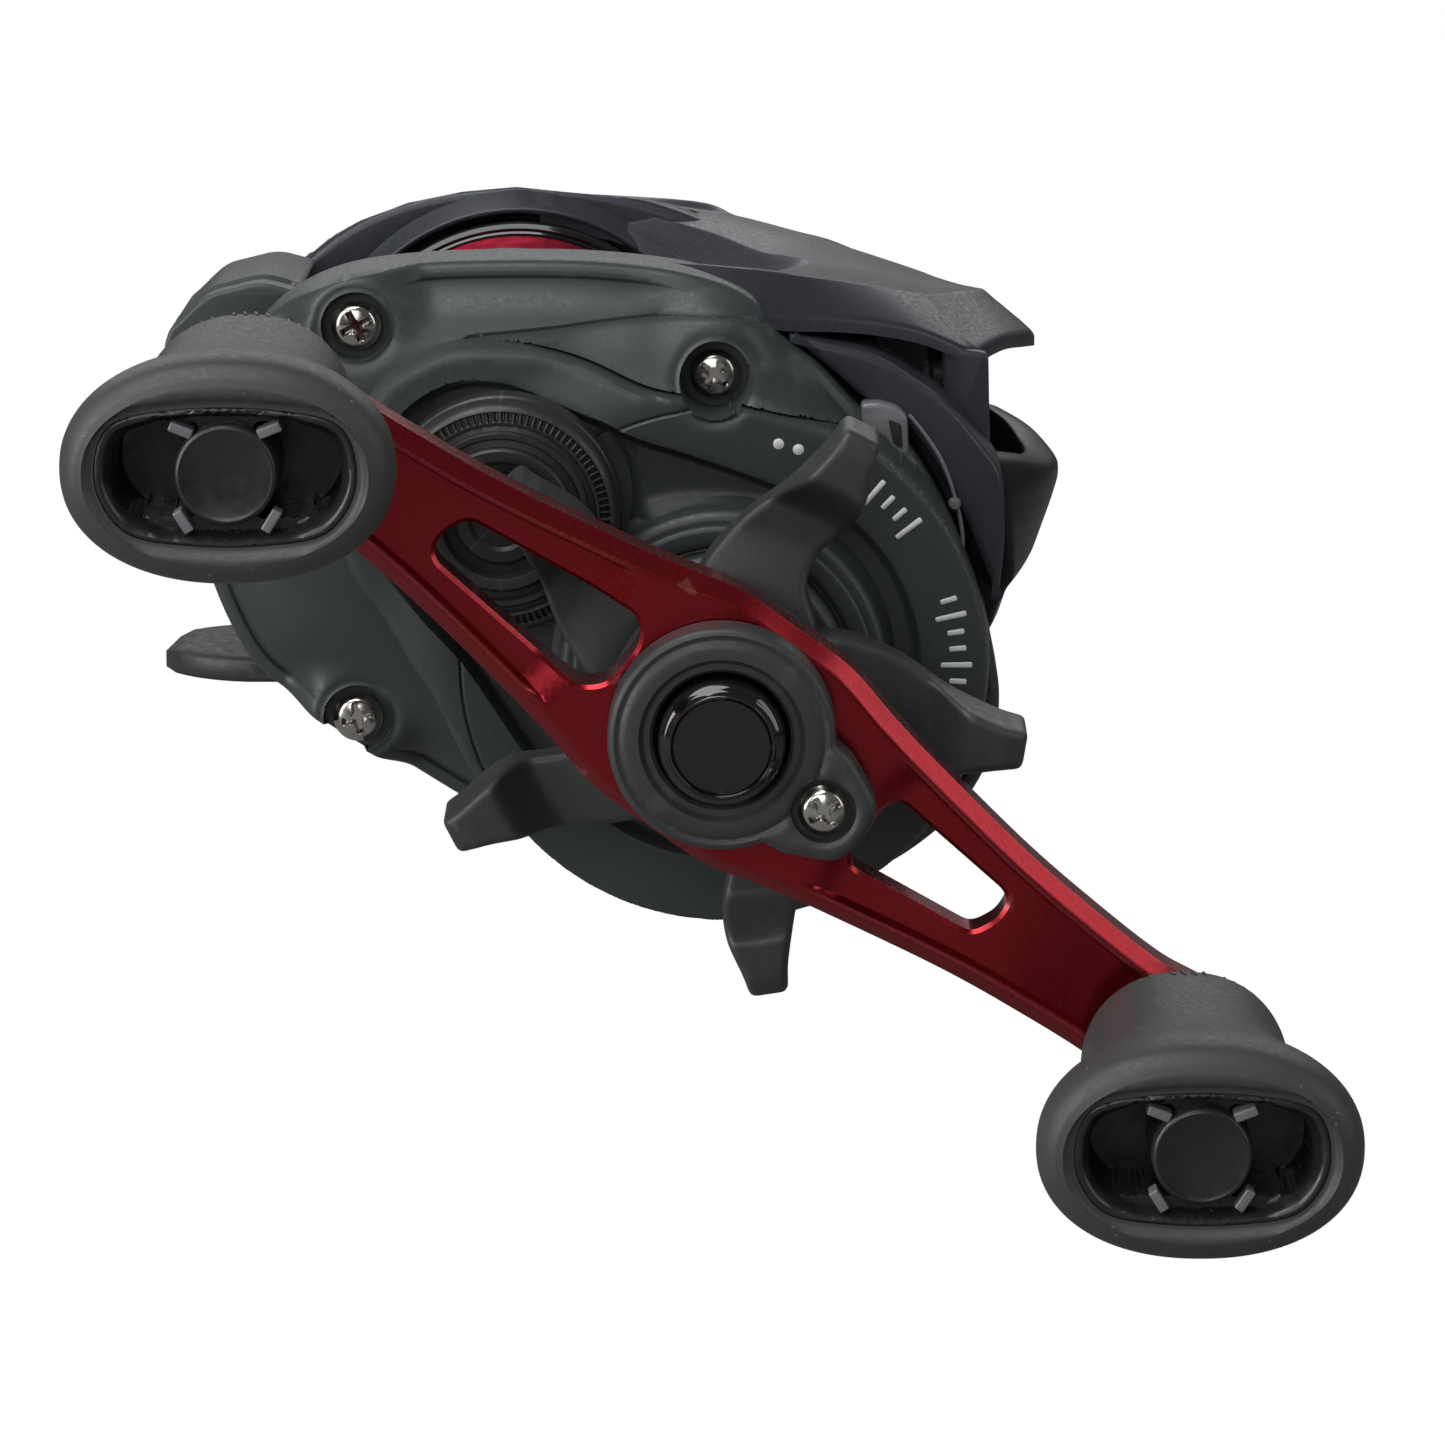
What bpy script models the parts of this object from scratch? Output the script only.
"""Low-profile baitcasting reel, built as an assembly of separate pieces.

Frame of the model: the origin is at the middle of the reel foot's lower
face, which sits on the rod.  +X points to the rod tip (front), +Z is up, -Y
is the handle side and +Y the palm side.  Every size below is in millimetres
from the spool's axis at the middle of the spool, in (x, z) or (x, y, z);
the shape makers scale to metres, and everything is moved onto the foot's
face at the end.
"""
import bpy
import bmesh
import math
from mathutils import Matrix, Vector

MM = 0.001                      # metres in a millimetre

# ------------------------------------------------------------ driving sizes
SPOOL = (0.0, 0.0)              # spool axis, (x, z)
DRIVE = (16.7, -12.7)           # handle and main gear axis
WORM = (29.6, -6.7)             # level-wind worm axis
RAIL = (34.9, -8.6)             # level-wind guide rail axis
RELEASE = (23.6, -6.4)          # palm plate release knob axis

MAIN_TEETH, PINION_TEETH = 72, 10
COG_TEETH, IDLER_TEETH, WORM_TEETH = 20, 18, 16
COG_MODULE = 0.5
MODULE = 2 * math.dist(DRIVE, SPOOL) / (MAIN_TEETH + PINION_TEETH)

GAP = 0.3                       # clearance between neighbours
PLATE_IN, PLATE_OUT = 12.6, 15.0   # frame side plates, distance from middle
SIDE_PLATE_IN = PLATE_OUT + GAP    # inner face of both outer side plates
BLIND_END = -(PLATE_IN + GAP)   # blind holes in the handle plate end here
SEAT_OUT = 15.6                 # seat cuts start here, outside the plates
CROSS_HALF = 13.8               # half-length of the frame's cross members
RING_IN, RING_R = 15.6, 17.6    # frame rings round the spool
FLANGE_R = 15.0                 # spool flange radius
FLANGE_Y = 10.8                 # outer face of the spool flange
HOUSING_R = 20.8                # round gear housing on the handle side

SPOOL_SHAFT_R = 1.25
SPOOL_BEARING_BORE = 1.38
DRIVE_SHAFT_R = 2.5
DRIVE_BORE = 2.65               # washers and sleeve on the drive shaft
DRIVE_WHEEL_BORE = 2.7          # main gear and ratchet on the drive shaft

HANDLE_ANGLE = math.radians(-35.8)
HANDLE_HALF = 42.0              # drive axis to knob axis
HANDLE_CUT = (-50.0, -41.0)     # y range of cuts through the handle arm
FOOT_BOTTOM = -19.5
FOOT_FACE = (1.0, 0.0, FOOT_BOTTOM)    # middle of the foot's lower face

# Outlines of the two outer side plates, (x, z), counter-clockwise from the
# upper front corner.
COVER = [(27.0, 6.1), (24.0, 9.3), (20.6, 12.0), (18.7, 14.7), (14.1, 16.4),
         (8.0, 17.2), (2.0, 17.4), (-6.0, 17.2), (-12.0, 16.4), (-16.2, 14.6),
         (-19.2, 11.8), (-22.2, 6.6), (-23.7, 0.0), (-23.4, -6.2),
         (-19.9, -14.1), (-14.4, -18.2), (-9.4, -21.4), (-4.4, -24.6),
         (0.6, -27.6), (5.6, -30.2), (10.6, -32.3), (14.9, -33.2),
         (18.0, -33.5), (21.8, -33.2), (26.5, -31.8), (30.9, -29.6),
         (35.0, -26.0), (37.5, -21.6), (38.1, -17.0), (37.5, -12.9),
         (36.4, -8.2), (34.6, -3.5), (32.3, 1.0), (30.1, 4.0)]
PALM = [(27.0, 4.8), (20.6, 11.4), (13.0, 15.6), (4.0, 17.6), (-6.0, 17.2),
        (-13.6, 14.6), (-19.4, 9.6), (-22.4, 3.0), (-22.0, -5.6),
        (-18.4, -12.4), (-12.4, -17.4), (-4.0, -20.8), (6.0, -22.6),
        (16.0, -22.0), (24.4, -18.6), (30.0, -12.6), (31.8, -5.6),
        (30.6, 0.4)]

# name: (base colour, roughness, metallic)
FINISHES = {
    "graphite": ((0.022, 0.026, 0.027), 0.50, 0.0),
    "frame_black": ((0.030, 0.033, 0.040), 0.38, 0.2),
    "gloss_black": ((0.008, 0.008, 0.009), 0.10, 0.0),
    "handle_red": ((0.260, 0.012, 0.020), 0.28, 0.9),
    "spool_red": ((0.300, 0.010, 0.025), 0.22, 0.9),
    "knob_rubber": ((0.035, 0.037, 0.038), 0.65, 0.0),
    "star_black": ((0.020, 0.021, 0.022), 0.55, 0.0),
    "steel": ((0.62, 0.60, 0.57), 0.25, 1.0),
    "brass": ((0.72, 0.52, 0.22), 0.30, 1.0),
    "dark_steel": ((0.10, 0.10, 0.10), 0.35, 1.0),
    "foot_black": ((0.030, 0.030, 0.032), 0.55, 0.5),
    "white_plastic": ((0.75, 0.75, 0.72), 0.45, 0.0),
    "washer_grey": ((0.12, 0.12, 0.13), 0.70, 0.0),
    "ceramic": ((0.80, 0.80, 0.78), 0.15, 0.0),
}


# ------------------------------------------------------------------- scene
def clear_scene():
    for obj in list(bpy.data.objects):
        bpy.data.objects.remove(obj, do_unlink=True)
    for coll in list(bpy.data.collections):
        bpy.data.collections.remove(coll)


def new_collection(name):
    coll = bpy.data.collections.new(name)
    bpy.context.scene.collection.children.link(coll)
    return coll


clear_scene()
parts = new_collection("baitcasting_reel")
cutters = new_collection("cutters")


def material(name):
    mat = bpy.data.materials.get(name)
    if mat is None:
        colour, roughness, metallic = FINISHES[name]
        mat = bpy.data.materials.new(name)
        mat.use_nodes = True
        bsdf = mat.node_tree.nodes["Principled BSDF"]
        bsdf.inputs["Base Color"].default_value = (*colour, 1.0)
        bsdf.inputs["Roughness"].default_value = roughness
        bsdf.inputs["Metallic"].default_value = metallic
    return mat


def place(obj, mat):
    """Put an object in the parts, or with the hidden helpers if mat is None."""
    if mat is None:
        cutters.objects.link(obj)
        obj.hide_render = True
        obj.display_type = 'WIRE'
    else:
        parts.objects.link(obj)
        obj.data.materials.clear()
        obj.data.materials.append(material(mat))
    return obj


# ---------------------------------------------------------------- outlines
def circle(radius, centre, segs):
    return [(centre[0] + radius * math.cos(2 * math.pi * i / segs),
             centre[1] + radius * math.sin(2 * math.pi * i / segs))
            for i in range(segs)]


def polar(centre, radius, degrees):
    angle = math.radians(degrees)
    return (centre[0] + radius * math.cos(angle),
            centre[1] + radius * math.sin(angle))


def smooth(points, per):
    """Closed Catmull-Rom curve with `per` points for each control point."""
    out = []
    count = len(points)
    for i in range(count):
        spans = list(zip(*(points[(i + k - 1) % count] for k in range(4))))
        for step in range(per):
            t = step / per
            out.append(tuple(
                0.5 * (2 * start + (end - before) * t
                       + (2 * before - 5 * start + 4 * end - after) * t * t
                       + (3 * start - before - 3 * end + after) * t ** 3)
                for before, start, end, after in spans))
    return out


def inset(points, dist):
    """Move a closed counter-clockwise outline inwards by dist."""
    out = []
    for i, (x, z) in enumerate(points):
        before, after = points[i - 1], points[(i + 1) % len(points)]
        run, rise = after[0] - before[0], after[1] - before[1]
        length = math.hypot(run, rise)
        out.append((x - rise / length * dist, z + run / length * dist))
    return out


def gear_outline(teeth, module, centre, phase, slack=0.14, waist=False):
    """Straight-flanked spur gear; one tooth centred on angle phase.

    With waist, each flank also has a point on the pitch circle.
    """
    addendum, dedendum = 0.92 * module, 1.28 * module
    pitch_r = module * teeth / 2
    half = (math.pi * module / 2 - slack) / 2 / pitch_r
    tip = half - math.tan(math.radians(20)) * addendum / pitch_r
    root = half + math.tan(math.radians(16)) * dedendum / pitch_r
    root = min(root, math.pi / teeth * 0.86)
    flank = [(root, pitch_r - dedendum), (tip, pitch_r + addendum)]
    if waist:
        flank.insert(1, (half, pitch_r))
    tooth = [(-turn, radius) for turn, radius in flank] + flank[::-1]
    points = []
    for k in range(teeth):
        angle = phase + 2 * math.pi * k / teeth
        for turn, radius in tooth:
            points.append((centre[0] + radius * math.cos(angle + turn),
                           centre[1] + radius * math.sin(angle + turn)))
    return points


def mesh_phase(centre, phase, teeth, next_centre, next_teeth):
    """Tooth angle of the next gear that puts it in mesh with this one."""
    theta = math.atan2(next_centre[1] - centre[1], next_centre[0] - centre[0])
    delta = (phase - theta) % (2 * math.pi / teeth)
    return theta + math.pi - delta * teeth / next_teeth + math.pi / next_teeth


# ------------------------------------------------------------ shape makers
# A shape made without a material is a hidden helper for a boolean.
def object_from(shape, name):
    """New object from a bmesh, which is freed."""
    mesh = bpy.data.meshes.new(name)
    shape.to_mesh(mesh)
    shape.free()
    return bpy.data.objects.new(name, mesh)


def lathe(name, profile, centre, mat=None, segs=12):
    """Turned piece about an axis along Y; profile is (radius, y) rows.

    A profile that starts on the axis is left open there.
    """
    shape = bmesh.new()
    verts = [shape.verts.new((radius * MM, 0.0, -y * MM))
             for radius, y in profile]
    for pair in zip(verts, verts[1:]):
        shape.edges.new(pair)
    if profile[0][0] > 0:
        shape.edges.new((verts[-1], verts[0]))
    obj = object_from(shape, name)
    obj.location = (centre[0] * MM, 0.0, centre[1] * MM)
    obj.rotation_euler = (math.pi / 2, 0, 0)
    turn = obj.modifiers.new("turn", 'SCREW')
    turn.axis = 'Z'
    turn.steps = segs
    turn.render_steps = segs
    turn.use_merge_vertices = True
    turn.merge_threshold = 1e-5
    turn.use_smooth_shade = False
    return place(obj, mat)


def ring(name, r_in, r_out, y_min, y_max, centre, mat=None, segs=12):
    return lathe(name, [(r_in, y_min), (r_out, y_min), (r_out, y_max),
                        (r_in, y_max)], centre, mat, segs)


def rod(name, radius, y_min, y_max, centre, mat=None, segs=12):
    return lathe(name, [(0, y_min), (radius, y_min), (radius, y_max),
                        (0, y_max)], centre, mat, segs)


def prism(name, outline, y_min, y_max, mat=None, holes=(), at=(0.0, 0.0)):
    """Flat outline in the XZ plane with straight walls; `at` is its origin."""
    curve = bpy.data.curves.new(name, 'CURVE')
    curve.dimensions = '2D'
    curve.fill_mode = 'BOTH'
    curve.extrude = (y_max - y_min) / 2 * MM
    for loop in (outline, *holes):
        spline = curve.splines.new('POLY')
        spline.points.add(len(loop) - 1)
        for point, (x, z) in zip(spline.points, loop):
            point.co = ((x - at[0]) * MM, (z - at[1]) * MM, 0.0, 1.0)
        spline.use_cyclic_u = True
    flat = bpy.data.objects.new(name + "_outline", curve)
    flat.location = (at[0] * MM, (y_min + y_max) / 2 * MM, at[1] * MM)
    flat.rotation_euler = (math.pi / 2, 0, 0)
    return curve_to_mesh(flat, name, mat)


def curve_to_mesh(source, name, mat):
    """Replace a curve object by a welded mesh object."""
    bpy.context.scene.collection.objects.link(source)
    bpy.context.view_layer.update()
    depsgraph = bpy.context.evaluated_depsgraph_get()
    mesh = bpy.data.meshes.new_from_object(source.evaluated_get(depsgraph))
    mesh.name = name
    shape = bmesh.new()
    shape.from_mesh(mesh)
    bmesh.ops.remove_doubles(shape, verts=shape.verts, dist=1e-6)
    bmesh.ops.recalc_face_normals(shape, faces=shape.faces)
    shape.to_mesh(mesh)
    shape.free()
    obj = bpy.data.objects.new(name, mesh)
    obj.matrix_world = source.matrix_world.copy()
    bpy.data.objects.remove(source, do_unlink=True)
    return place(obj, mat)


def block(name, low, high, mat=None):
    size = [(b - a) * MM for a, b in zip(low, high)]
    shape = bmesh.new()
    bmesh.ops.create_cube(shape, size=1.0,
                          matrix=Matrix.Diagonal((*size, 1.0)))
    obj = object_from(shape, name)
    obj.location = [(a + b) / 2 * MM for a, b in zip(low, high)]
    return place(obj, mat)


def pin(name, radius, start, end, mat=None, segs=16):
    """Round bar between two points given in millimetres."""
    start, end = Vector(start) * MM, Vector(end) * MM
    axis = end - start
    shape = bmesh.new()
    bmesh.ops.create_cone(shape, cap_ends=True, segments=segs,
                          radius1=radius * MM, radius2=radius * MM,
                          depth=axis.length)
    obj = object_from(shape, name)
    obj.rotation_mode = 'QUATERNION'
    obj.rotation_quaternion = axis.to_track_quat('Z', 'Y')
    obj.location = (start + end) / 2
    return place(obj, mat)


def loft(name, sections, mat, origin=(0, 0, 0)):
    """Skin closed sections of equal point count, capped at both ends."""
    shape = bmesh.new()
    loops = [[shape.verts.new([(c - o) * MM for c, o in zip(point, origin)])
              for point in section] for section in sections]
    count = len(loops[0])
    for near, far in zip(loops, loops[1:]):
        for i in range(count):
            j = (i + 1) % count
            shape.faces.new((near[i], near[j], far[j], far[i]))
    shape.faces.new(loops[0])
    shape.faces.new(loops[-1])
    bmesh.ops.recalc_face_normals(shape, faces=shape.faces)
    bmesh.ops.triangulate(shape, faces=[face for face in shape.faces
                                        if len(face.verts) > 4])
    obj = object_from(shape, name)
    obj.location = [o * MM for o in origin]
    return place(obj, mat)


def coil(name, centre, radius, wire, y_min, y_max, turns):
    """Steel coil spring about an axis along Y."""
    per_turn = 7
    curve = bpy.data.curves.new(name, 'CURVE')
    curve.dimensions = '3D'
    curve.bevel_depth = wire * MM
    curve.bevel_resolution = 1
    curve.use_fill_caps = True
    spline = curve.splines.new('POLY')
    count = turns * per_turn
    spline.points.add(count)
    for i, point in enumerate(spline.points):
        angle = 2 * math.pi * i / per_turn
        point.co = (radius * MM * math.cos(angle),
                    (y_min + (y_max - y_min) * i / count) * MM,
                    radius * MM * math.sin(angle), 1.0)
    path = bpy.data.objects.new(name + "_path", curve)
    path.location = (centre[0] * MM, 0, centre[1] * MM)
    return curve_to_mesh(path, name, "steel")


# --------------------------------------------------------------- modifiers
def boolean(obj, other, operation):
    mod = obj.modifiers.new(operation.lower(), 'BOOLEAN')
    mod.operation = operation
    mod.object = other
    mod.solver = 'EXACT'


def cut(obj, *others):
    for other in others:
        boolean(obj, other, 'DIFFERENCE')


def add(obj, *others):
    for other in others:
        boolean(obj, other, 'UNION')


def drill(obj, tag, radius, y_min, y_max, centre, segs=12):
    """Cut a round hole along Y."""
    cut(obj, rod("cut_" + tag, radius, y_min, y_max, centre, segs=segs))


def bevel(obj, width, angle):
    mod = obj.modifiers.new("bevel", 'BEVEL')
    mod.width = width * MM
    mod.segments = 1
    mod.limit_method = 'ANGLE'
    mod.angle_limit = math.radians(angle)
    mod.use_clamp_overlap = True


# ------------------------------------------------------------------- frame
# The handle-side plate carries the rest of the frame as unions.
ARM = [(21.4, 11.7), (24.8, 9.0), (27.7, 6.4), (30.9, 4.5), (33.2, 1.3),
       (35.5, -3.2), (37.4, -8.1), (38.2, -12.2), (38.4, -5.0), (38.2, 0.9),
       (34.0, 6.2), (28.6, 10.0)]
TIE = [(22.0, 9.4), (26.0, 4.0), (30.6, -0.6), (35.6, -4.6), (36.8, 0.6),
       (33.0, 6.0), (28.2, 9.4), (22.8, 10.8)]
PILLAR = [(33.6, 9.6), (33.8, 1.6), (37.4, 0.9), (37.2, 9.0)]
# name, (x, z) outline, lowest y, highest y
FRAME_JOINS = [
    ("bridge",                  # below the spool, above the foot
     [polar(SPOOL, 15.9, a) for a in range(228, 307, 9)]
     + [(13.6, -14.6), (12.6, -17.4), (-11.4, -17.4), (-13.6, -14.4)],
     -CROSS_HALF, CROSS_HALF),
    ("under_guide",             # below the level wind
     [(19.0, -17.2), (30.0, -17.2), (35.6, -15.2), (36.4, -12.2),
      (34.0, -12.6), (29.0, -14.6), (22.0, -14.9), (19.4, -15.2)],
     -CROSS_HALF, CROSS_HALF),
    ("top_bar", [(20.4, 10.4), (28.4, 8.4), (28.8, 9.6), (20.8, 11.6)],
     -CROSS_HALF, CROSS_HALF),
    ("rear_bar",
     [(-21.8, -5.0), (-20.4, -9.6), (-18.0, -9.2), (-19.4, -5.0),
      (-19.8, -1.6), (-21.6, -1.6)], -CROSS_HALF, CROSS_HALF),
    # ties link the front arms to the side plates
    ("arm_tie", TIE, -14.7, -12.9),
    ("arm_tie_palm", TIE, 12.9, 14.7),
    ("arm_handle", ARM, -18.8, -13.4),
    ("arm_palm", ARM, 13.4, 17.2),
    ("pillar", PILLAR, -14.4, -12.8),
    ("pillar_palm", PILLAR, 12.8, 14.6),
]
frame = prism("frame", inset(COVER, 1.1), -PLATE_OUT, -PLATE_IN,
              "frame_black")
add(frame,
    prism("join_palm_plate", inset(PALM, 0.2), PLATE_IN, PLATE_OUT),
    ring("join_ring_handle", RING_IN, RING_R, -13.4, -10.2, SPOOL, segs=24),
    ring("join_ring_palm", RING_IN, RING_R, 10.2, 13.4, SPOOL, segs=24))
for tag, outline, y_min, y_max in FRAME_JOINS:
    add(frame, prism("join_" + tag, outline, y_min, y_max))

# ----------------------------------------------------------- handle cover
cover = prism("handle_side_plate", COVER, -24.5, -SIDE_PLATE_IN, "graphite")
bevel(cover, 0.8, 50)
housing = rod("join_housing", HOUSING_R, -28.0, -16.6, DRIVE, segs=32)
bevel(housing, 0.7, 50)
dome = lathe("join_dome", [(0, -27.0), (9.8, -27.0), (12.6, -24.0),
                           (12.6, -19.0), (0, -19.0)], SPOOL, segs=20)
add(cover, housing, dome)
drill(cover, "cap_room", 9.35, -30.0, -27.2, SPOOL, 22)
add(cover, rod("join_cap_boss", 6.5, -31.6, -22.0, SPOOL, segs=16),
    rod("join_drive_boss", 9.5, -32.0, -22.0, DRIVE, segs=20))

# hollow for the gears, open towards the frame
COVER_OPEN = -14.0
cut(cover, prism("cut_cover_hollow", inset(COVER, 2.2), -22.4, COVER_OPEN))
drill(cover, "gear_room", 19.35, -26.0, COVER_OPEN, DRIVE, 28)
drill(cover, "yoke_room", 10.6, -25.2, COVER_OPEN, SPOOL, 16)
drill(cover, "pinion_room", 4.3, -27.4, COVER_OPEN, SPOOL)

COVER_SCREWS = [(-11.3, 12.9), (16.0, 9.2), (-11.55, -17.85)]
SCREW_HOLE_R = 1.25
for i, centre in enumerate(COVER_SCREWS, 1):
    add(cover, rod("join_screw_boss_%d" % i, 2.35, -23.2, -15.6, centre))
drill(cover, "spool_bearing_seat", 4.05, -30.7, -27.0, SPOOL)
drill(cover, "boss_mouth", 2.4, -33.0, -30.0, SPOOL)
drill(cover, "clutch_seat", 7.0, -31.0, -25.0, DRIVE, 16)
drill(cover, "drive_mouth", 5.2, -33.0, -30.0, DRIVE, 14)

# slotted screws that hold the cover to the frame
for i, centre in enumerate(COVER_SCREWS, 1):
    drill(cover, "screw_recess_%d" % i, 2.6, -26.0, -22.6, centre)
    drill(cover, "screw_hole_%d" % i, SCREW_HOLE_R, -23.5, COVER_OPEN, centre)
    drill(frame, "frame_screw_%d" % i, SCREW_HOLE_R, -15.5, BLIND_END, centre)
    screw = lathe("side_plate_screw_%d" % i,
                  [(0, -24.1), (1.3, -24.1), (1.9, -23.5), (1.9, -22.9),
                   (1.0, -22.9), (1.0, -13.2), (0, -13.2)], centre, "steel")
    slot = block("cut_screw_slot_%d" % i,
                 (centre[0] - 2.2, -24.5, centre[1] - 0.25),
                 (centre[0] + 2.2, -23.6, centre[1] + 0.25))
    slot.rotation_euler = (0, math.radians(20 + 40 * i), 0)
    cut(screw, slot)

# -------------------------------------------------------------- front hood
HOOD_HALF = 18.0                # half-width along y
HOOD_SKIRT_Y = 15.2             # outside this the hood reaches down
# (x, z) along the top skin at y = 0, rear to front
HOOD_TOP = [(14.6, 18.2), (18.9, 17.05), (21.2, 16.4), (26.0, 15.2),
            (30.6, 14.0), (34.2, 12.9), (37.4, 11.6), (39.6, 9.8),
            (41.4, 7.6)]
HOOD_REAR, HOOD_FRONT = HOOD_TOP[0][0], HOOD_TOP[-1][0]
HOOD_BEND = HOOD_TOP[2][0]      # in front of this x the sides are shortened
# (x, z) along the lower edge of the sides, rear to front
HOOD_EDGE = [(14.0, 17.1), (18.9, 15.2), (21.2, 12.5), (41.4, 9.2)]
HOOD_STATIONS = (-HOOD_HALF, -15.4, -15.1, -13.0, -7.0, 0.0,
                 7.0, 13.0, 15.1, 15.4, HOOD_HALF)


def edge_height(x):
    """Height of HOOD_EDGE at an x inside its range."""
    for (x_rear, z_rear), (x_front, z_front) in zip(HOOD_EDGE, HOOD_EDGE[1:]):
        if x <= x_front:
            return z_rear + (z_front - z_rear) * (x - x_rear) / (x_front - x_rear)


def hood_section(y):
    """Top skin rear to front, then the underside front to rear."""
    out = abs(y) / HOOD_HALF
    side = max(0.0, (abs(y) - 13.0) / 5.0)
    reach = HOOD_FRONT - 6.0 * out ** 1.6
    top, low = [], []
    for x, z in HOOD_TOP:
        ahead = (x - HOOD_REAR) / (HOOD_FRONT - HOOD_REAR)
        if x > HOOD_BEND:
            x = HOOD_BEND + ((x - HOOD_BEND) * (reach - HOOD_BEND)
                             / (HOOD_FRONT - HOOD_BEND))
        z = z - 0.9 * out * out - 1.6 * side * ahead + 5.4 * out * ahead ** 3
        top.append((x, y, z))
        if abs(y) > HOOD_SKIRT_Y:
            z_low = min(edge_height(x), z - 0.5)
        else:
            z_low = z - 1.7 + 0.9 * ahead ** 3
        low.append((x - 0.25 * ahead, y, z_low))
    return top + low[::-1]


loft("front_hood", [hood_section(y) for y in HOOD_STATIONS], "frame_black")

# --------------------------------------------------------- front cross bar
cross_bar = prism("front_cross_bar",
                  [(38.6, 1.0), (43.4, -0.8), (42.4, -5.9), (40.2, -9.6),
                   (38.7, -11.4)], -15.6, 15.6, "gloss_black")
bevel(cross_bar, 0.5, 30)
cut(cross_bar, lathe("cut_bar_scoop",
                     [(0, -9.6), (2.4, -9.6), (2.9, -8.0), (2.9, 8.0),
                      (2.4, 9.6), (0, 9.6)], (41.2, 1.6)))

# --------------------------------------------------------------- reel foot
FOOT_SIDE = [(-28.0, FOOT_BOTTOM), (30.0, FOOT_BOTTOM), (30.4, -18.9),
             (29.0, -17.9), (14.0, -17.7), (-14.0, -17.7), (-20.0, -17.2),
             (-27.0, -17.2), (-28.4, -18.2)]
# plan of the foot seen from above, (x, y)
FOOT_PLAN = [(-28.4, 0), (-26.6, 4.6), (-20, 6.3), (-8, 6.6), (6, 6.6),
             (20, 6.2), (28.6, 4.6), (30.4, 0), (28.6, -4.6), (20, -6.2),
             (6, -6.6), (-8, -6.6), (-20, -6.3), (-26.6, -4.6)]
foot = prism("reel_foot", FOOT_SIDE, -6.6, 6.6, "foot_black")
# a slab with the plan as its hole, laid flat, trims the foot all round
foot_trim = prism("cut_foot_outline",
                  [(-60, -60), (60, -60), (60, 60), (-60, 60)], -1, 1,
                  holes=[smooth(FOOT_PLAN, 3)])
foot_trim.rotation_euler = (0, 0, 0)
foot_trim.scale = (1, 1, 6)
foot_trim.location = (0, 0, -18.5 * MM)
cut(foot, foot_trim)

# ------------------------------------------------------------------ pinion
MAIN_PHASE = math.atan2(SPOOL[1] - DRIVE[1], SPOOL[0] - DRIVE[0])
pinion_phase = mesh_phase(DRIVE, MAIN_PHASE, MAIN_TEETH, SPOOL, PINION_TEETH)
pinion = prism("pinion_gear",
               gear_outline(PINION_TEETH, MODULE, SPOOL, pinion_phase,
                            slack=0.10, waist=True), -25.0, -18.5, "brass")
add(pinion, rod("join_pinion_neck", 1.75, -18.9, -16.4, SPOOL),
    rod("join_pinion_journal", 2.2, -16.8, -12.9, SPOOL))
drill(pinion, "pinion_bore", 1.42, -26.0, -12.0, SPOOL)
# slot that takes the spool's drive pin
cut(pinion, block("cut_pinion_slot", (-3.0, -14.3, -0.62),
                  (3.0, -12.0, 0.62)))
ring("pinion_bearing", 2.32, 4.0, -14.9, -12.9, SPOOL, "steel")
drill(frame, "pinion_seat", 4.15, -SEAT_OUT, -11.0, SPOOL)

# ------------------------------------------------------------------ clutch
# round cam with a tail towards the rear
CAM_R = 7.2
cam = prism("clutch_cam",
            [polar(SPOOL, CAM_R, a) for a in range(-185, 146, 15)]
            + [(-19.8, 5.6), (-20.0, 4.6), (-19.6, 3.4), (-8.0, 1.2)],
            -16.5, -15.4, "white_plastic", holes=[circle(4.4, SPOOL, 16)])
for i, middle in enumerate((32.7, 194.0)):
    add(cam, prism("join_ramp_%d" % i,
                   [polar(SPOOL, radius, middle + turn) for radius, turn in
                    ((4.9, -5), (6.8, -4), (6.8, 4), (4.9, 5))],
                   -17.1, -16.0))

YOKE_ANGLE = math.radians(52.7)
YOKE_POST = 8.5                 # spool axis to each post
YOKE_DIR = (math.cos(YOKE_ANGLE), math.sin(YOKE_ANGLE))


def on_yoke(along, across):
    return (YOKE_DIR[0] * along + YOKE_DIR[1] * across,
            YOKE_DIR[1] * along - YOKE_DIR[0] * across)


yoke = prism("clutch_yoke",
             [on_yoke(*point) for point in
              ((-10, -1.5), (-10, 1.4), (10, 1.4), (10, -1.5), (8.0, -2.9),
               (-8.0, -2.9))], -17.9, -17.2, "white_plastic",
             holes=[circle(1.15, on_yoke(YOKE_POST, 0), 10),
                    circle(1.15, on_yoke(-YOKE_POST, 0), 10)])
drill(yoke, "yoke_mouth", 2.08, -19.0, -16.5, SPOOL)
for i, along in ((1, YOKE_POST), (2, -YOKE_POST)):
    centre = on_yoke(along, 0)
    rod("yoke_post_%d" % i, 0.95, -24.8, -13.4, centre, "steel")
    coil("yoke_spring_%d" % i, centre, 1.45, 0.16, -24.3, -18.3, turns=4)
    drill(frame, "post_seat_%d" % i, 1.08, -15.5, BLIND_END, centre)
coil("clutch_spring", (-13.4, -8.4), 1.0, 0.17, -18.6, -15.6, turns=3)

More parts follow.
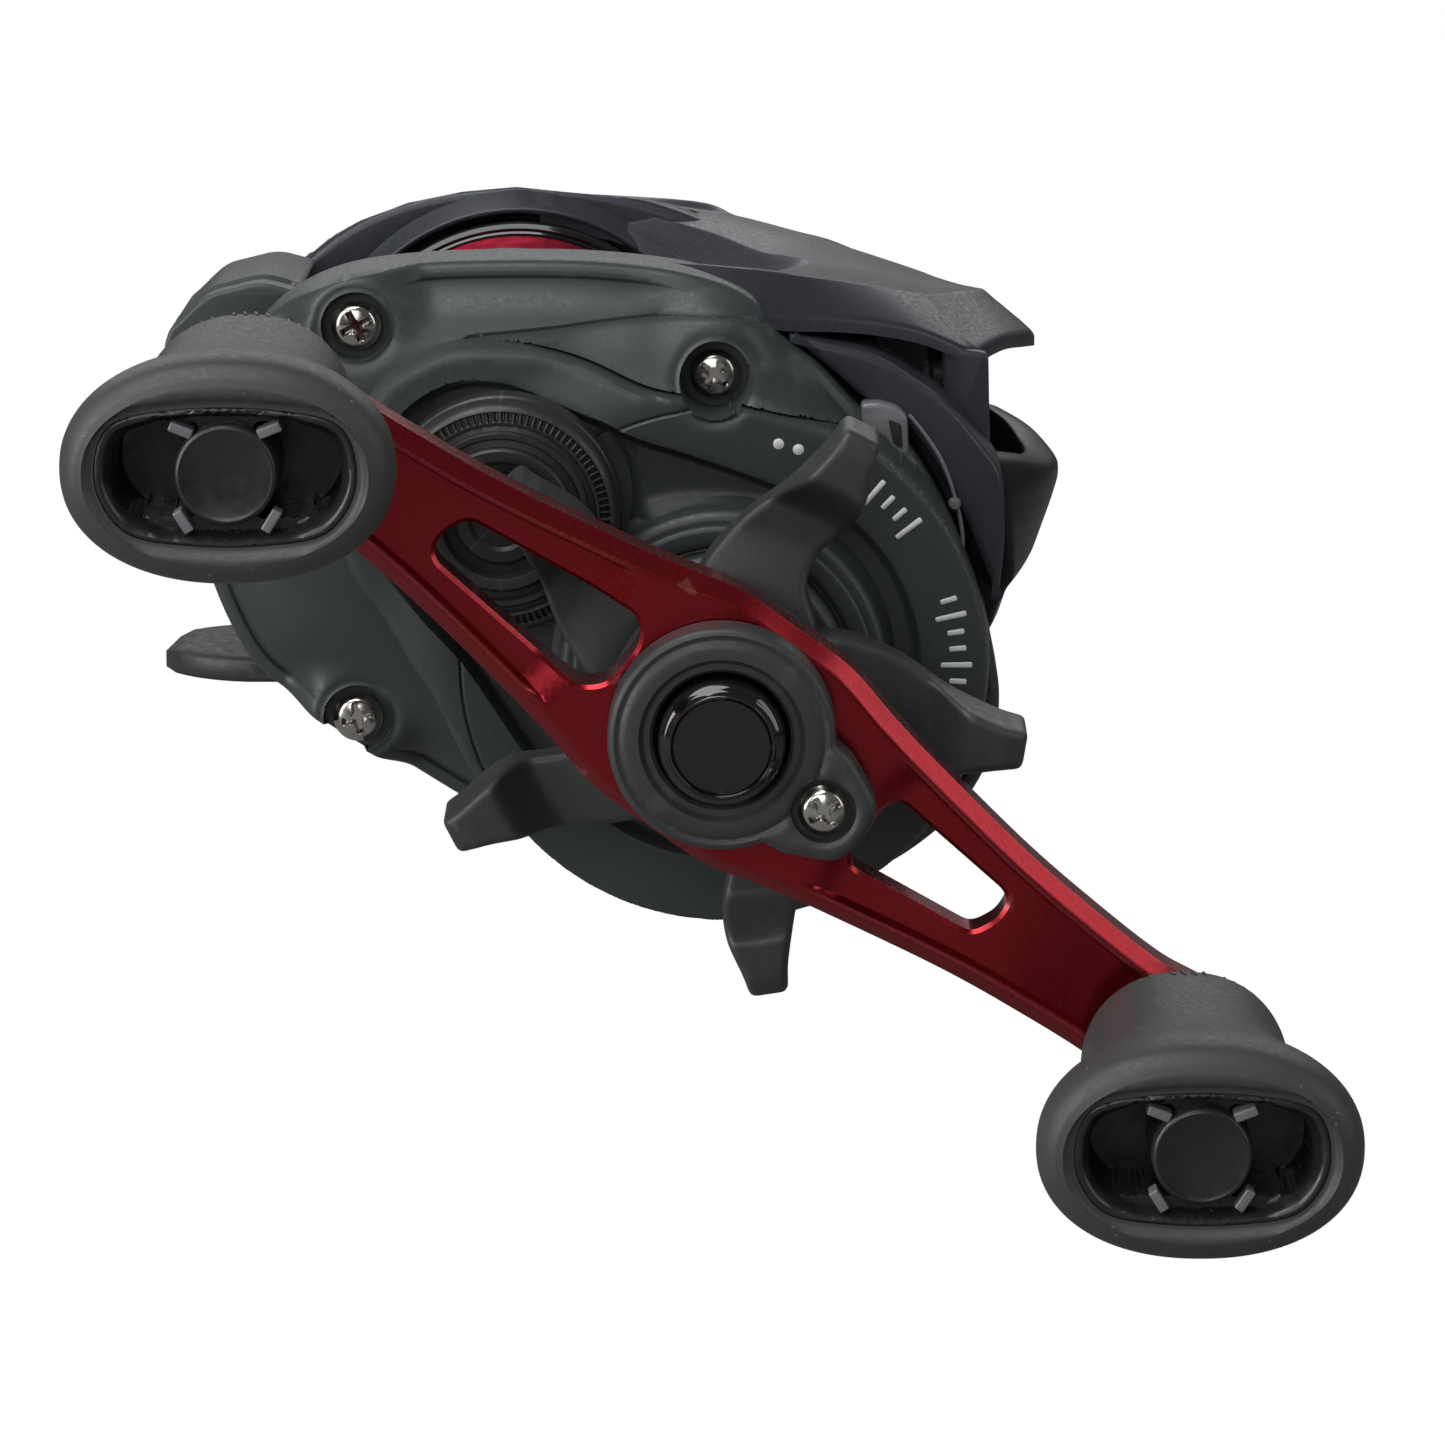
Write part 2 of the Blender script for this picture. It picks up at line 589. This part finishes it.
# --------------------------------------------------------------- thumb bar
# behind the spool, with a tab that reaches into the handle side
thumb = prism("thumb_bar", [(-16.5, 13.8), (-19.5, 14.6), (-23.5, 13.6),
                            (-27.2, 10.8), (-27.6, 9.6), (-27.4, 5.2),
                            (-24.6, 3.4), (-19.0, 4.4), (-17.7, 10.0)],
              -10.4, 10.4, "graphite")
bevel(thumb, 0.5, 40)
add(thumb, block("join_thumb_tab", (-19.9, -16.3, 6.0), (-18.1, -9.0, 8.0)))
cut(cover, block("cut_cover_slot", (-20.2, -16.7, 1.0), (-17.7, -14.0, 8.4)))
cut(frame, block("cut_thumb_slot", (-27.0, -16.0, 1.0),
                 (-17.75, -12.0, 9.4)))

# --------------------------------------------------------- spool and shaft
SPOOL_BORE = 1.36
ARBOR_R = 7.8
lathe("spool",
      [(SPOOL_BORE, -9.6), (6.0, -9.6), (12.6, -FLANGE_Y),
       (FLANGE_R, -FLANGE_Y), (FLANGE_R, -10.0), (8.4, -8.6),
       (ARBOR_R, -7.6), (ARBOR_R, 7.6), (8.4, 8.6), (FLANGE_R, 10.0),
       (FLANGE_R, FLANGE_Y), (12.6, FLANGE_Y), (6.9, 9.2), (6.9, 3.0),
       (2.6, 3.0), (2.6, 7.4), (SPOOL_BORE, 7.4)], SPOOL, "spool_red", 24)
shaft = rod("spool_shaft", SPOOL_SHAFT_R, -31.2, 19.0, SPOOL, "steel")
cut(shaft, block("cut_pin_hole", (-1.6, -13.95, -0.55), (1.6, -12.85, 0.55)))
pin("spool_drive_pin", 0.42, (-2.0, -13.4, 0.0), (2.0, -13.4, 0.0),
    "dark_steel", 10)
ring("handle_side_spool_bearing", SPOOL_BEARING_BORE, 3.9, -30.4, -27.9,
     SPOOL, "steel")
ring("brake_hub", 1.40, 4.0, 7.7, 9.3, SPOOL, "white_plastic")
for i, x_min, x_max in ((1, 4.2, 5.3), (2, -5.3, -4.2)):
    block("brake_shoe_%d" % i, (x_min, 7.8, -0.9), (x_max, 9.2, 0.9),
          "white_plastic")

# ------------------------------------------------- drive shaft, main gear
lathe("drive_shaft",
      [(0, -49.4), (2.3, -49.4), (2.3, -42.4), (DRIVE_SHAFT_R, -42.4),
       (DRIVE_SHAFT_R, -15.2), (2.0, -15.2), (2.0, -12.9), (0, -12.9)],
      DRIVE, "steel")
drill(frame, "drive_bush", 2.12, -SEAT_OUT, -11.6, DRIVE)
prism("drive_gear", gear_outline(MAIN_TEETH, MODULE, DRIVE, MAIN_PHASE,
                                 slack=0.10), -22.3, -18.8, "brass",
      holes=[circle(DRIVE_WHEEL_BORE, DRIVE, 14)], at=DRIVE)

RATCHET_TEETH = 10
RATCHET_PITCH = 36.0            # degrees between teeth
ratchet = []
for k in range(RATCHET_TEETH):
    angle = RATCHET_PITCH * k
    ratchet += [polar(DRIVE, 6.7, angle), polar(DRIVE, 5.5, angle + 8.0)]
prism("ratchet_wheel", ratchet, -18.4, -17.6, "dark_steel",
      holes=[circle(DRIVE_WHEEL_BORE, DRIVE, 14)], at=DRIVE)

# name, bore radius, outer radius, lowest y, highest y, material, facets
DRIVE_RINGS = [
    ("drag_washer", DRIVE_BORE, 13.0, -23.2, -22.6, "washer_grey", 16),
    ("key_washer", DRIVE_BORE, 12.4, -24.3, -23.5, "steel", 16),
    ("clutch_sleeve", DRIVE_BORE, 4.0, -33.2, -24.7, "steel", 12),
    ("roller_clutch_bearing", 4.2, 6.8, -30.8, -26.3, "steel", 14),
]
for name, r_in, r_out, y_min, y_max, mat, segs in DRIVE_RINGS:
    ring(name, r_in, r_out, y_min, y_max, DRIVE, mat, segs)
lathe("drag_spring_washer", [(2.7, -35.2), (2.9, -35.6), (6.4, -34.4),
                             (6.4, -34.0)], DRIVE, "steel")

# -------------------------------------------------------- level-wind gears
# The idler meshes with the drive cog and the worm gear, so its axis is where
# circles of the two centre distances cross, on the lower front side.
to_cog = COG_MODULE * COG_TEETH / 2 + COG_MODULE * IDLER_TEETH / 2
to_worm = COG_MODULE * IDLER_TEETH / 2 + COG_MODULE * WORM_TEETH / 2
run, rise = WORM[0] - DRIVE[0], WORM[1] - DRIVE[1]
span = math.hypot(run, rise)
along = (to_cog ** 2 - to_worm ** 2 + span * span) / (2 * span)
aside = math.sqrt(to_cog ** 2 - along ** 2)
IDLER = (DRIVE[0] + run / span * along + rise / span * aside,
         DRIVE[1] + rise / span * along - run / span * aside)

COG_PHASE = 0.0
idler_phase = mesh_phase(DRIVE, COG_PHASE, COG_TEETH, IDLER, IDLER_TEETH)
worm_phase = mesh_phase(IDLER, idler_phase, IDLER_TEETH, WORM, WORM_TEETH)
for name, teeth, centre, phase, bore in (
        ("drive_cog", COG_TEETH, DRIVE, COG_PHASE, DRIVE_BORE),
        ("idler_gear", IDLER_TEETH, IDLER, idler_phase, 1.35),
        ("worm_gear", WORM_TEETH, WORM, worm_phase, 1.35)):
    prism(name, gear_outline(teeth, COG_MODULE, centre, phase), -17.2, -15.4,
          "white_plastic", holes=[circle(bore, centre, 12)], at=centre)
lathe("idler_post", [(0, -17.9), (1.9, -17.9), (1.9, -17.4), (1.2, -17.4),
                     (1.2, -13.2), (0, -13.2)], IDLER, "steel")
drill(frame, "idler_seat", 1.35, -SEAT_OUT, BLIND_END, IDLER)

# --------------------------------------------------------------- star drag
STAR_ANGLES = (63, -9, -81, -153, 135)
# (radius, degrees from the arm's angle)
STAR_ARM = [(7.7, 18), (8.6, 34), (10.5, 33), (13.9, 20), (17.1, 8.5),
            (21.0, 4), (23.0, 3.5), (23.0, -3.5), (21.5, -3), (18.4, -6),
            (16.5, -6), (14.0, 1), (12.0, 6), (9.7, 8), (7.9, 6)]
STAR_TIP = [(19.6, 5.0), (22.9, 3.4), (22.9, -3.4), (20.2, -4.0)]
star = lathe("star_drag",
             [(2.7, -43.2), (5.2, -43.2), (6.6, -40.0), (8.6, -37.8),
              (8.6, -33.6), (6.9, -33.6), (6.9, -36.0), (2.7, -36.0)],
             DRIVE, "star_black", 20)
for i, angle in enumerate(STAR_ANGLES):
    for tag, table, y_min, y_max in (("arm", STAR_ARM, -38.0, -34.4),
                                     ("tip", STAR_TIP, -40.4, -35.0)):
        add(star, prism("join_star_%s_%d" % (tag, i),
                        [polar(DRIVE, radius, angle + turn)
                         for radius, turn in table], y_min, y_max))

# -------------------------------------------------------------- handle arm
HANDLE_DIR = (math.cos(HANDLE_ANGLE), math.sin(HANDLE_ANGLE))


def on_handle(along, across):
    return (DRIVE[0] + HANDLE_DIR[0] * along - HANDLE_DIR[1] * across,
            DRIVE[1] + HANDLE_DIR[1] * along + HANDLE_DIR[0] * across)


HANDLE_END = 46.9
# (distance along the arm from the drive axis, half-width)
ARM_WIDTHS = [(0, 9.3), (5, 9.2), (10, 8.0), (15, 7.0), (24, 5.5), (31, 4.8),
              (37, 4.5), (41.6, 4.9), (45.2, 3.6)]
# windows as (along, across); the second is on the other half of the arm
KEEPER_WINDOW = [(25.1, 0), (25, 1.5), (24.2, 2.1), (14.0, 3.2), (13.3, 2.2),
                 (13.3, -2.2), (14.0, -3.0), (24.2, -1.9)]
FAR_WINDOW = [(25.1, 0), (25, 1.5), (24.2, 2.1), (12.3, 3.4), (10.3, 3.4),
              (8.9, 2.1), (8.6, -1.3), (9.2, -2.7), (10.4, -3.4),
              (24.2, -1.9)]
arm_outline = (
    [(along, half) for along, half in ARM_WIDTHS] + [(HANDLE_END, 0)]
    + [(along, -half) for along, half in ARM_WIDTHS[::-1]]
    + [(-along, -half) for along, half in ARM_WIDTHS[1:]] + [(-HANDLE_END, 0)]
    + [(-along, half) for along, half in ARM_WIDTHS[:0:-1]])
arm = prism("handle_arm", [on_handle(*point) for point in arm_outline],
            -47.6, -43.6, "handle_red", at=DRIVE)
bevel(arm, 0.6, 40)
for i, (window, sign) in enumerate(((KEEPER_WINDOW, 1), (FAR_WINDOW, -1))):
    cut(arm, prism("cut_window_%d" % i,
                   [on_handle(along * sign, across * sign)
                    for along, across in window], *HANDLE_CUT))
KEEPER_SCREW = on_handle(9.2, 0)
drill(arm, "arm_hub", 2.6, *HANDLE_CUT, DRIVE)
drill(arm, "arm_screw", 1.05, -48.4, -44.2, KEEPER_SCREW)

# -------------------------------------------- handle nut and its retainer
lathe("handle_nut", [(0, -52.7), (3.85, -52.7), (4.7, -51.6), (4.7, -47.9),
                     (2.5, -47.9), (2.5, -49.8), (0, -49.8)], DRIVE,
      "gloss_black")
keeper = prism("nut_retainer",
               [polar(DRIVE, 8.4, math.degrees(HANDLE_ANGLE) + a)
                for a in range(28, 333, 15)]
               + [on_handle(12.2, -3.0), on_handle(12.8, 0),
                  on_handle(12.2, 3.0)], -50.8, -47.9, "star_black")
bevel(keeper, 0.6, 40)
drill(keeper, "keeper_mouth", 5.05, -52, -46, DRIVE, 14)
drill(keeper, "keeper_screw", 1.1, -52, -46, KEEPER_SCREW)
drill(keeper, "keeper_recess", 2.35, -52, -49.6, KEEPER_SCREW)
lathe("retainer_screw", [(0, -51.0), (1.2, -51.0), (1.9, -50.5),
                         (1.9, -49.9), (0.85, -49.9), (0.85, -44.5),
                         (0, -44.5)], KEEPER_SCREW, "steel")

# ------------------------------------------------------------ handle knobs
# y, half-size along x, half-size along z
KNOB_SECTIONS = [(-49.5, 6.6, 6.2), (-50.1, 7.3, 6.9), (-52.5, 7.65, 7.25),
                 (-57.5, 7.7, 7.2), (-62.0, 8.3, 7.3), (-65.5, 9.7, 7.6),
                 (-68.4, 11.3, 8.0), (-70.6, 11.8, 8.1), (-72.4, 11.5, 7.8),
                 (-73.4, 10.7, 7.0), (-73.8, 9.9, 6.3)]
# recess in the outer face and the pockets in it, (x, z) from the knob axis
KNOB_FACE = [(9.3, -0.6), (8.2, 3.6), (3.4, 4.9), (-3.4, 4.9), (-8.2, 3.6),
             (-9.3, -0.6), (-7.2, -4.2), (-2.8, -5.2), (2.8, -5.2),
             (7.2, -4.2)]
KNOB_POCKET = [(4.6, -2.6), (7.4, -2.4), (7.9, 0), (7.2, 2.4), (4.6, 2.9),
               (5.3, 0.2)]
KNOB_FACETS = 22
KNOB_POWER = 0.92               # below 1 squares the section slightly


def squared(value):
    return math.copysign(abs(value) ** KNOB_POWER, value)


def knob_section(centre, y, half_x, half_z):
    angles = [2 * math.pi * (j + 0.5) / KNOB_FACETS
              for j in range(KNOB_FACETS)]
    return [(centre[0] + half_x * squared(math.cos(angle)), y,
             centre[1] + half_z * squared(math.sin(angle)))
            for angle in angles]


def knob(number, centre):
    """Knob with its shaft and cap, and its hole in the handle arm."""
    drill(arm, "knob_hole_%d" % number, 2.35, *HANDLE_CUT, centre)
    lathe("knob_shaft_%d" % number,
          [(0, -70.8), (1.9, -70.8), (1.9, -49.2), (3.4, -49.2),
           (3.4, -47.9), (2.2, -47.9), (2.2, -43.0), (0, -43.0)], centre,
          "steel")
    grip = loft("knob_%d_grip" % number,
                [knob_section(centre, *row) for row in KNOB_SECTIONS],
                "knob_rubber", (centre[0], 0, centre[1]))
    drill(grip, "knob_bore_%d" % number, 2.05, -71.2, -48.0, centre)
    cut(grip, prism("cut_knob_face_%d" % number,
                    [(centre[0] + x, centre[1] + z) for x, z in KNOB_FACE],
                    -75.0, -71.8))
    for j, sign in enumerate((1, -1)):
        cut(grip, prism("cut_knob_pocket_%d_%d" % (number, j),
                        [(centre[0] + sign * x, centre[1] + z)
                         for x, z in KNOB_POCKET], -72.4, -66.0))
    lathe("knob_%d_cap" % number,
          [(0, -73.2), (3.2, -73.2), (3.55, -72.9), (3.55, -72.1),
           (0, -72.1)], centre, "gloss_black")


knob(1, on_handle(-HANDLE_HALF, 0))
knob(2, on_handle(HANDLE_HALF, 0))

# -------------------------------------------------------- cast control cap
lathe("cast_control_cap",
      [(0, -33.8), (5.6, -33.8), (6.2, -33.4), (8.2, -33.1), (8.9, -32.2),
       (8.9, -27.5), (6.85, -27.5), (6.85, -32.0), (0, -32.0)], SPOOL,
      "star_black", 24)

# -------------------------------------------------- worm shaft, guide rail
lathe("worm_shaft",
      [(0, -17.4), (1.2, -17.4), (1.2, -15.0), (1.6, -15.0), (1.6, -12.2),
       (2.2, -12.2), (2.2, 11.6), (1.6, 11.6), (1.6, 14.4), (0, 14.4)],
      WORM, "steel")
drill(frame, "worm_seat", 2.72, -SEAT_OUT, -11.8, WORM)
drill(frame, "worm_seat_palm", 1.72, 11.8, 14.7, WORM)
ring("worm_bushing", 1.7, 2.55, -14.9, -12.7, WORM, "white_plastic")
RAIL_SEAT_R = 1.27
rod("line_guide_rail", 1.15, -14.4, 14.4, RAIL, "steel")
drill(frame, "rail_seat", RAIL_SEAT_R, -14.7, -11.6, RAIL)
drill(frame, "rail_seat_palm", RAIL_SEAT_R, 11.6, 14.7, RAIL)

# -------------------------------------------------------------- line guide
EYE_Z = 2.9                     # height of the line's eye
EYE_CUT = ((30, 0, EYE_Z), (39, 0, EYE_Z))
guide = prism("line_guide",
              [(26.2, -9.8), (27.6, -12.4), (31.6, -12.4), (33.4, -11.2),
               (36.8, -11.0), (37.2, -7.0), (35.4, -4.6), (35.0, -2.6),
               (36.6, -1.0), (36.6, 6.4), (32.2, 6.4), (32.2, -2.2),
               (27.8, -3.0), (26.2, -5.0)], -3.5, 3.5, "star_black",
              holes=[circle(2.5, WORM, 14), circle(1.3, RAIL, 12)])
add(guide, prism("join_guide_plate", [(32.9, -1.2), (35.9, -1.2),
                                      (35.9, 6.9), (32.9, 6.9)], -4.4, 4.4))
cut(guide, pin("cut_guide_eye", 3.0, *EYE_CUT))
insert = pin("guide_insert", 2.7, (32.4, 0, EYE_Z), (36.4, 0, EYE_Z),
             "ceramic", 14)
cut(insert, pin("cut_insert_bore", 1.9, *EYE_CUT))
# pawl below the worm
cut(guide, pin("cut_pawl_hole", 1.25, (WORM[0], 0, -13.4),
               (WORM[0], 0, -8.6), segs=14))
pin("guide_pawl", 1.05, (WORM[0], 0, -13.0), (WORM[0], 0, -9.1), "steel", 14)

# --------------------------------------------------------- palm side plate
palm = prism("palm_side_plate", smooth(PALM, 2), SIDE_PLATE_IN, 21.5,
             "graphite")
bevel(palm, 1.4, 50)
add(palm, lathe("join_palm_dome",
                [(0, 17.1), (16.3, 17.1), (16.1, 21.9), (14.4, 24.4),
                 (11.2, 26.0), (7.8, 26.6), (0, 26.6)], SPOOL, segs=22))
cut(palm, prism("cut_palm_hollow", inset(PALM, 2.4), 14.0, 19.4),
    lathe("cut_palm_cup", [(0, 14.0), (14.4, 14.0), (14.2, 21.2),
                           (12.4, 23.2), (9.0, 24.2), (0, 24.2)], SPOOL,
          segs=22))
add(palm, rod("join_palm_hub", 7.6, 16.0, 24.9, SPOOL, segs=14))
# stepped core: brake ring, bearing seat, dial stem and dial recess
cut(palm, lathe("cut_palm_core",
                [(0, 14.0), (6.75, 14.0), (6.75, 17.4), (4.15, 17.4),
                 (4.15, 19.6), (1.85, 19.6), (1.85, 25.3), (7.3, 25.3),
                 (7.3, 28.0), (0, 28.0)], SPOOL, segs=14))
ring("palm_spool_bearing", SPOOL_BEARING_BORE, 4.0, 17.0, 19.3, SPOOL,
     "steel")
ring("brake_ring", 5.6, 6.5, 6.6, 17.1, SPOOL, "brass", 14)

# -------------------------------------------------------------- brake dial
dial = lathe("brake_dial", [(0, 20.0), (1.65, 20.0), (1.65, 25.6),
                            (6.9, 25.6), (7.0, 28.0), (6.2, 28.9),
                            (0, 28.9)], SPOOL, "graphite", 16)
for tag, x_min, x_max in (("a", -6.6, -3.6), ("b", 3.6, 6.6)):
    cut(dial, block("cut_dial_grip_" + tag, (x_min, 27.6, -6.0),
                    (x_max, 30.0, 6.0)))

# ------------------------------------------------------ plate release knob
RELEASE_HOLE_R = 1.75
drill(palm, "release_hole", RELEASE_HOLE_R, 14.0, 23.0, RELEASE)
drill(palm, "release_recess", 4.2, 20.6, 23.0, RELEASE)
release = lathe("plate_release_knob", [(0, 13.2), (1.5, 13.2), (1.5, 20.9),
                                       (3.8, 20.9), (3.8, 22.6), (3.3, 23.2),
                                       (0, 23.2)], RELEASE, "dark_steel")
cut(release, block("cut_release_slot",
                   (RELEASE[0] - 4.4, 22.5, RELEASE[1] - 0.45),
                   (RELEASE[0] + 4.4, 24.0, RELEASE[1] + 0.45)))
drill(frame, "release_frame", RELEASE_HOLE_R, 12.9, SEAT_OUT, RELEASE)
# the spool comes out through the palm plate
drill(frame, "palm_opening", RING_IN, 11.9, 16.0, SPOOL, 24)

# ---------------------------------------------------------------- finishing
# move everything onto the middle of the foot's lower face
for obj in list(parts.objects) + list(cutters.objects):
    obj.location -= Vector(FOOT_FACE) * MM

# smooth shading with sharp creases; turned pieces have no faces of their own
for obj in parts.objects:
    if len(obj.data.polygons):
        obj.data.shade_smooth()
        obj.data.set_sharp_from_angle(angle=math.radians(32))
